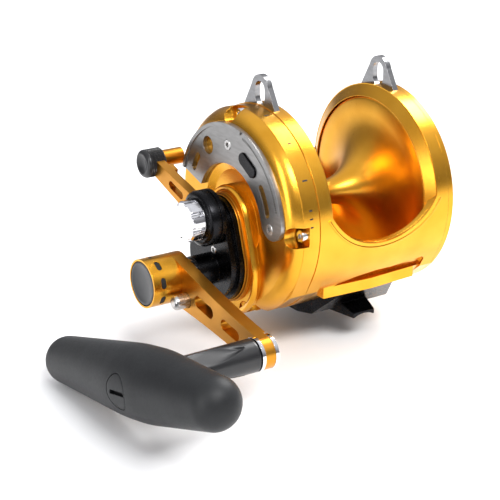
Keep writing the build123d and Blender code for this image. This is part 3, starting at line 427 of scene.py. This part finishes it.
def barrel_radius(along):
    """Radius of the barrel at a distance along its axis: two tapers with a soft knee each."""
    reach = GRIP_LONG if along > 0 else GRIP_SHORT
    slope = (MID_R - END_R) / (reach - KNEE)
    past = abs(along) - KNEE
    if past <= -KNEE_BLEND:
        drop = 0.0
    elif past < KNEE_BLEND:
        drop = slope * (past + KNEE_BLEND) ** 2 / (4 * KNEE_BLEND)
    else:
        drop = slope * past
    taper = MID_R - drop
    left = reach - abs(along)
    if left < CORNER:
        taper -= CORNER - math.sqrt(max(0.0, CORNER ** 2 - (CORNER - left) ** 2))
    return max(0.0, taper)


def barrel_profile():
    """Close points on the round ends, wider ones on the tapers."""
    end_steps = 14
    turns = [1 - math.cos(math.pi / 2 * k / end_steps) for k in range(end_steps + 1)]
    left = [-GRIP_SHORT + CORNER * t for t in turns]
    right = [GRIP_LONG - CORNER * t for t in reversed(turns)]
    steps = 60
    middle = [left[-1] + (right[0] - left[-1]) * k / steps for k in range(1, steps)]
    stations = left + middle + right
    rounded = [(x, barrel_radius(x)) for x in stations]
    return [(-GRIP_SHORT, 0.0)] + rounded + [(GRIP_LONG, 0.0)]


barrel = lathe("t_grip_barrel", barrel_profile(), (0.0, 0.0), RUBBER, 96)
turn = Matrix.Rotation(-GRIP_TILT, 4, "X") @ Matrix.Rotation(math.pi / 2, 4, "Z")
shift = Matrix.Translation(Vector((GRIP_X, GRIP_Y, GRIP_Z)) * MM)
barrel.data.transform(shift @ turn)
CAP_R, CAP_GAP = 9.2, 0.3
PIT_FLOOR = GRIP_X - 13.4
OUTSIDE_X = GRIP_X - 25.0               # past the barrel's surface, where the cutting tools start
pit = lathe("pit", [(OUTSIDE_X, 0), (OUTSIDE_X, CAP_R + CAP_GAP), (PIT_FLOOR, CAP_R + CAP_GAP),
                    (PIT_FLOOR, 0)], GRIP_AXIS, RUBBER, 96)
carve(barrel, pit)
dress(barrel, RUBBER, 40.0)
place(barrel, "grip", "grip_rubber", "t_grip")


def cap_mesh():
    """Plug whose face follows the barrel, with a softened rim."""
    verts, faces = [], []
    segments = 96
    radii = [0.0, 2.0, 4.0, 6.0, 7.6, 8.5, 8.9, 9.1, CAP_R]
    sink = {8.9: 0.06, 9.1: 0.18, CAP_R: 0.40}      # how far each of the last rings drops
    rings = []
    for r in radii:
        ring = []
        for k in range(segments if r else 1):
            a = 2 * math.pi * k / segments
            y, z = r * math.cos(a), r * math.sin(a)
            along = y * math.cos(GRIP_TILT) - z * math.sin(GRIP_TILT)
            across = y * math.sin(GRIP_TILT) + z * math.cos(GRIP_TILT)
            face_x = GRIP_X - math.sqrt(barrel_radius(along) ** 2 - across ** 2) + sink.get(r, 0.0)
            ring.append(len(verts))
            verts.append((face_x, GRIP_Y + y, GRIP_Z + z))
        rings.append(ring)
    back = []
    for k in range(segments):
        a = 2 * math.pi * k / segments
        back.append(len(verts))
        verts.append((PIT_FLOOR, GRIP_Y + CAP_R * math.cos(a), GRIP_Z + CAP_R * math.sin(a)))
    rings.append(back)
    for low, high in zip(rings, rings[1:]):
        for k in range(segments):
            n = (k + 1) % segments
            if len(low) == 1:
                faces.append((low[0], high[k], high[n]))
            else:
                faces.append((low[k], low[n], high[n], high[k]))
    faces.append(tuple(reversed(back)))
    return mesh_object("grip_end_cap", verts, faces, RUBBER, 35.0)


def tilted(along, across):
    """Y and Z of a point given along and across the barrel."""
    y = along * math.cos(GRIP_TILT) + across * math.sin(GRIP_TILT)
    z = across * math.cos(GRIP_TILT) - along * math.sin(GRIP_TILT)
    return GRIP_Y + y, GRIP_Z + z


CAP_SLOT = ((-8.4, -1.1), (6.2, -1.1), (5.6, 1.1), (-8.0, 1.1))     # along and across the barrel
CAP_SLOT_DEPTH = 2.6
cap = cap_mesh()
slot_ends = [tilted(along, across) for along, across in CAP_SLOT]
bar = plate("bar", slot_ends, OUTSIDE_X, GRIP_X - MID_R + CAP_SLOT_DEPTH, DARK, 0)
carve(cap, bar)
dress(cap, RUBBER, 35.0)
place(cap, "grip", "black_plastic", "grip_cap")

s_low, s_high = (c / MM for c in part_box("grip_shank"))
SHANK_R = (s_high.z - s_low.z) / 2
FLUTE_START, FLUTE_STOP = 14.0, 8.0     # from the barrel's axis, and short of the shank's end
FLUTE_DEG, FLUTE_HALF, FLUTE_DEPTH = 118.0, 0.58, 1.5
SHANK_STEPS = 71


def shank_flutes(x, r, a):
    """Leaf-shaped flutes, three round the shank, pointed at both ends."""
    if r < SHANK_R - 1.2:
        return r
    along = (x - (GRIP_X + FLUTE_START)) / (s_high.x - FLUTE_STOP - GRIP_X - FLUTE_START)
    if along <= 0 or along >= 1:
        return r
    half = FLUTE_HALF * math.sin(math.pi * min(1.0, along * 0.92 + 0.08)) ** 0.8
    depth = 0.0
    for k in range(3):
        off = (a - math.radians(FLUTE_DEG + 120.0 * k) + math.pi) % (2 * math.pi) - math.pi
        if abs(off) < half:
            depth = FLUTE_DEPTH * (1 - (off / half) ** 2) ** 0.7
    return r - depth


shank_points = [(s_high.x, 0.0), (s_high.x, SHANK_R - 0.8), (s_high.x - 0.3, SHANK_R - 0.3),
                (s_high.x - 0.9, SHANK_R)]
for k in range(1, SHANK_STEPS + 1):
    x = s_high.x - 0.9 - (s_high.x - GRIP_X - 6.0) * k / SHANK_STEPS
    shank_points.append((x, SHANK_R))
shank_points.append((shank_points[-1][0], 0.0))
shank = lathe("shank_fluted", shank_points, GRIP_AXIS, MOULDED, 144, shank_flutes, 40.0)
place(shank, "grip", "black_plastic", "grip_shank")

# ---------------------------------------------------------------- lever
k_low, k_high = (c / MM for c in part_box("lever_knob"))
KNOB_AXIS = ((k_low.y + k_high.y) / 2, (k_low.z + k_high.z) / 2)
KNOB_R = (k_high.z - k_low.z) / 2
face, back = k_low.x, k_high.x
KNURLS, KNURL_PITCH, KNURL_DEPTH = 36, 2.2, 0.45
KNURL_STEPS = 40


def knurl(x, r, a):
    """Crossed knurling on the knob's rim."""
    if r < KNOB_R - 0.3 or x < face + 2.4 or x > back - 0.8:
        return r
    lean = KNURL_PITCH * (x - face)
    crossed = math.cos(KNURLS * a + lean) * math.cos(KNURLS * a - lean)
    return r - KNURL_DEPTH + KNURL_DEPTH * crossed


knob_points = [(face + 1.7, 0.0), (face + 1.4, 2.4), (face + 0.7, 4.6), (face + 0.1, 5.7),
               (face, 6.2), (face + 0.15, 6.9), (face + 0.7, 7.8), (face + 1.5, 8.3),
               (face + 2.2, KNOB_R)]
for k in range(1, KNURL_STEPS + 1):
    knob_points.append((face + 2.2 + (back - 0.7 - face - 2.2) * k / KNURL_STEPS, KNOB_R))
knob_points += [(back, KNOB_R - 0.8), (back, 0.0)]
knob = lathe("lever_knob_knurled", knob_points, KNOB_AXIS, MOULDED, 288, knurl, 40.0)
place(knob, "drag_lever", "black_plastic", "lever_knob")

h_low, h_high = (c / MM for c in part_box("lever_hub"))
HUB_R = (h_high.z - h_low.z) / 2
HUB_BORE_R = 8.1
hub_groove = [(h_high.x - 2.4, HUB_R), (h_high.x - 2.7, HUB_R - 0.9), (h_high.x - 3.2, HUB_R - 0.9),
              (h_high.x - 3.5, HUB_R)]
hub_shoulder = [(h_low.x + 2.2, HUB_R), (h_low.x + 1.2, HUB_R - 0.35), (h_low.x + 0.4, HUB_R - 1.3),
                (h_low.x, HUB_R - 2.6)]
hub_face = [(h_low.x, 13.2), (h_low.x + 0.5, 12.9), (h_low.x + 0.5, 12.1), (h_low.x, 11.8),
            (h_low.x, HUB_BORE_R)]
hub = lathe("lever_hub_turned",
            [(h_high.x, HUB_BORE_R), (h_high.x, HUB_R)] + hub_groove + hub_shoulder + hub_face,
            SPOOL_AXIS, BLACK, 160, closed=True)
place(hub, "drag_lever", "black_anodised", "lever_hub")

# ---------------------------------------------------------------- crank
b_low, b_high = (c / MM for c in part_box("shift_button"))
BUTTON_R = (b_high.z - b_low.z) / 2
button_rim = [(b_high.x, BUTTON_R), (b_low.x + 0.6, BUTTON_R), (b_low.x + 0.15, BUTTON_R - 0.25),
              (b_low.x, BUTTON_R - 0.7), (b_low.x, BUTTON_R - 1.5), (b_low.x + 0.25, BUTTON_R - 2.0)]
button_dish = [(b_low.x + 0.7, 8.4), (b_low.x + 1.15, 6.4), (b_low.x + 1.45, 4.2),
               (b_low.x + 1.6, 2.0), (b_low.x + 1.65, 0.0)]
button = lathe("shift_button_dished", [(b_high.x, 0.0)] + button_rim + button_dish,
               GEAR_AXIS, BUTTON, 128)
place(button, "shift_button", "black_plastic", "shift_button")

c_low, c_high = (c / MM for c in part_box("crank_hub"))
CRANK_HUB_R = (c_high.z - c_low.z) / 2
CRANK_DEG = 189.2                       # direction of the arm, from +Y
HUB_SLOTS = 8
SLOT_HALF_LENGTH, SLOT_HALF_WIDTH = 3.1, 1.45
SLOT_X = c_low.x + 6.2
SLOT_STRAIGHT = 0.55                    # share of the half length before the round end starts


def slot_shade_block(name, middle):
    """Near-black block in one slot of the crank hub, wrapped round the hub at an angle: painted shade in the slot.
    """
    verts, faces = [], []
    rows = 12
    for i in range(rows + 1):
        place_on = 2 * i / rows - 1
        a = middle + math.degrees(SLOT_HALF_LENGTH / CRANK_HUB_R) * place_on
        rounding = max(0.0, (abs(place_on) - SLOT_STRAIGHT) / (1 - SLOT_STRAIGHT))
        width = SLOT_HALF_WIDTH * math.sqrt(max(0.02, 1 - rounding ** 2))
        for side in (-1, 1):
            for r in (CRANK_HUB_R - 0.35, CRANK_HUB_R - 1.6):
                y, z = polar(r, a, GEAR_AXIS)
                verts.append((SLOT_X + side * width, y, z))
    for i in range(rows):
        p, q = 4 * i, 4 * (i + 1)
        faces += [(p, p + 2, q + 2, q), (p + 1, q + 1, q + 3, p + 3),
                  (p, q, q + 1, p + 1), (p + 2, p + 3, q + 3, q + 2)]
    last = 4 * rows
    faces += [(0, 1, 3, 2), (last, last + 2, last + 3, last + 1)]
    return mesh_object(name, verts, faces, DARK)


# near-black blocks in the hub's slots: painted shade in the slots
slot_shade_blocks = []
for k in range(HUB_SLOTS):
    slot_shade_blocks.append(slot_shade_block(f"slot_shade{k}", CRANK_DEG + 22.5 + 45.0 * k))
place(join("hub_slot_painted_shade", slot_shade_blocks), "crank", "black_anodised")

# ---------------------------------------------------------------- gear stage and quadrant
EGG_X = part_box("handle_side_plate")[0].x / MM
egg = hull_line(0.0, SPOOL_Z - 4.5, 20.3, GEAR_Y, GEAR_Z, 29.8)
ridge_section = [(0.15, EGG_X + 2.4), (0.1, EGG_X + 1.4), (-0.6, EGG_X - 0.5), (-1.0, EGG_X - 0.9),
                 (-1.5, EGG_X - 0.8), (-3.4, EGG_X + 0.2), (-3.4, EGG_X + 2.4)]
ridge = sweep("stage_ridge", egg, ridge_section, GOLD)
place(ridge, "reel_body", "gold_anodised")
cover_line = hull_line(1.0, SPOOL_Z - 7.0, 17.0, GEAR_Y + 0.5, SPOOL_Z - 27.0, 24.5)
for index, (off, top) in enumerate(((0.55, 3.3), (1.5, 2.2))):
    ring_section = [(off - 0.35, EGG_X + 0.3), (off - 0.35, EGG_X - top + 0.2),
                    (off - 0.15, EGG_X - top), (off + 0.15, EGG_X - top),
                    (off + 0.35, EGG_X - top + 0.2), (off + 0.35, EGG_X + 0.3)]
    ring = sweep(f"stage_ring_{index + 1}", cover_line, ring_section, GOLD_ARM)
    place(ring, "reel_body", "gold_anodised")

QUAD_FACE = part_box("drag_quadrant")[0].x / MM + 0.8      # under the raised lip
RIBS, RIB_START, RIB_STEP, RIB_HALF = 42, 107.0, 1.40, 0.28       # angles in degrees
# near-black detent marks sunk under the raised lip: painted shade in the recess
RIB_IN_R, RIB_OUT_R = 48.0, 49.4
ribs = []
for k in range(RIBS):
    angle = RIB_START + RIB_STEP * k
    corners = []
    for r, side in ((RIB_IN_R, -1), (RIB_OUT_R, -1), (RIB_OUT_R, 1), (RIB_IN_R, 1)):
        corners.append(polar(r, angle + side * RIB_HALF, SPOOL_AXIS))
    ribs.append(plate(f"rib{k}", corners, QUAD_FACE + 0.3, QUAD_FACE - 0.10, DARK, 0.05))
place(join("quadrant_detents", ribs), "reel_body", "grey_titanium")

# small plain scale marks on the rim, in place of a printed scale: angle, x and half length
SCALE_MARKS = ((150.0, -50.6, 1.6), (128.0, -50.6, 1.2), (166.0, -50.9, 1.0),
               (170.5, -50.9, 1.0), (175.0, -50.9, 1.0), (104.0, -50.6, 1.4))
MARK_OUT_R, MARK_IN_R, MARK_HALF = 59.62, 59.2, 0.42
marks = []
for k, (angle, x, length) in enumerate(SCALE_MARKS):
    spots = [polar(MARK_OUT_R, angle + side * MARK_HALF, SPOOL_AXIS) for side in (-1, 1)]
    inner = [polar(MARK_IN_R, angle + side * MARK_HALF, SPOOL_AXIS) for side in (1, -1)]
    marks.append(plate(f"mark{k}", spots + inner, x - length, x + length, DARK, 0))
place(join("rim_scale_marks", marks), "reel_body", "black_anodised")

# ---------------------------------------------------------------- window lips
RING_R = 60.0
WINDOW_R, WINDOW_Z = 42.6, 29.2     # circle that cuts the line window, above the spool axis
WINDOW_HALF_X = 37.0


def window_lip(name, sign):
    """Bevelled lip that follows the lower edge of the line window on the frame's outer surface."""
    section = [(-0.12, -4.0), (-0.12, -1.7), (2.5, 0.40), (3.0, 0.48), (3.4, 0.30), (3.6, -0.3),
               (0.4, -4.0)]         # away from the window, and out from the surface
    reach = math.acos(WINDOW_HALF_X / WINDOW_R)
    steps = 72
    verts, faces = [], []
    for k in range(steps + 1):
        a = -reach - (math.pi - 2 * reach) * k / steps
        x, z = WINDOW_R * math.cos(a), WINDOW_Z + WINDOW_R * math.sin(a)
        y = sign * math.sqrt(RING_R ** 2 - z ** 2)
        normal = Vector((0.0, y, z)).normalized()
        away = Vector((math.cos(a), -math.sin(a) * z / y, math.sin(a))).normalized()
        for out, lift in section:
            at = Vector((x, y, z)) + away * out + normal * lift
            verts.append((at.x, at.y, at.z + SPOOL_Z))
    count = len(section)
    for k in range(steps):
        for j in range(count):
            m = (j + 1) % count
            faces.append((k * count + j, k * count + m, (k + 1) * count + m, (k + 1) * count + j))
    faces.append(tuple(range(count)))
    faces.append(tuple(steps * count + j for j in reversed(range(count))))
    return mesh_object(name, verts, faces, GOLD, 25.0)


place(window_lip("window_lip_front", -1), "reel_body", "gold_anodised")
place(window_lip("window_lip_rear", 1), "reel_body", "gold_anodised")

# ---------------------------------------------------------------- studio
floor_z = min(c[2] for c in cad_box)
bpy.ops.mesh.primitive_plane_add(size=12.0, location=(0, 0, floor_z - 0.0005))
floor = bpy.context.object
floor.name = "floor"
paper = Shader("paper", 0.0, 0.85)
paper.colour(paper.noise(3.0, 2.0), (0.3, (0.90, 0.90, 0.90)), (0.7, (0.93, 0.93, 0.93)))
dress(floor, paper.mat, None)


def studio_world():
    """Bright overhead, darker towards the horizon, so that the gold has contrast."""
    world = bpy.data.worlds.new("studio")
    bpy.context.scene.world = world
    world.use_nodes = True
    nodes, links = world.node_tree.nodes, world.node_tree.links
    where = nodes.new("ShaderNodeTexCoord")
    split = nodes.new("ShaderNodeSeparateXYZ")
    ramp = nodes.new("ShaderNodeValToRGB")
    elements = ramp.color_ramp.elements
    elements[0].position, elements[0].color = 0.02, (0.16, 0.16, 0.17, 1.0)
    elements[1].position, elements[1].color = 0.75, (0.95, 0.96, 1.0, 1.0)
    elements.new(0.30).color = (0.40, 0.40, 0.42, 1.0)
    links.new(where.outputs["Generated"], split.inputs["Vector"])
    links.new(split.outputs["Z"], ramp.inputs["Fac"])
    links.new(ramp.outputs["Color"], nodes["Background"].inputs["Color"])
    nodes["Background"].inputs["Strength"].default_value = 1.0


studio_world()
bpy.context.scene.view_settings.view_transform = "Standard"


def softbox(name, place_at, aim, size, watts):
    data = bpy.data.lights.new(name, "AREA")
    data.energy = watts
    data.shape = "RECTANGLE"
    data.size, data.size_y = size
    lamp = bpy.data.objects.new(name, data)
    lamp.location = place_at
    lamp.rotation_euler = (Vector(aim) - Vector(place_at)).to_track_quat("-Z", "Y").to_euler()
    bpy.context.scene.collection.objects.link(lamp)


centre = (-0.03, 0.0, 0.06)
softbox("key", (-0.15, -0.95, 1.05), centre, (0.8, 0.35), 16.0)
softbox("fill", (-1.2, -0.35, 0.45), centre, (0.3, 0.9), 6.0)
softbox("rim", (0.8, 0.1, 0.9), centre, (0.5, 0.5), 14.0)

LOOK_DOWN, LOOK_ACROSS = 20.3, 33.6     # degrees below level, and from +Y towards +X
camera_data = bpy.data.cameras.new("camera")
camera_data.sensor_width = 36.0
camera_data.lens = 107.8
camera_data.clip_start = 0.05
camera = bpy.data.objects.new("camera", camera_data)
camera.location = (-0.5020, -0.6775, 0.2752 + SPOOL_Z * MM)
camera.rotation_euler = (math.radians(90.0 - LOOK_DOWN), 0.0, math.radians(-LOOK_ACROSS))
bpy.context.scene.collection.objects.link(camera)
bpy.context.scene.camera = camera
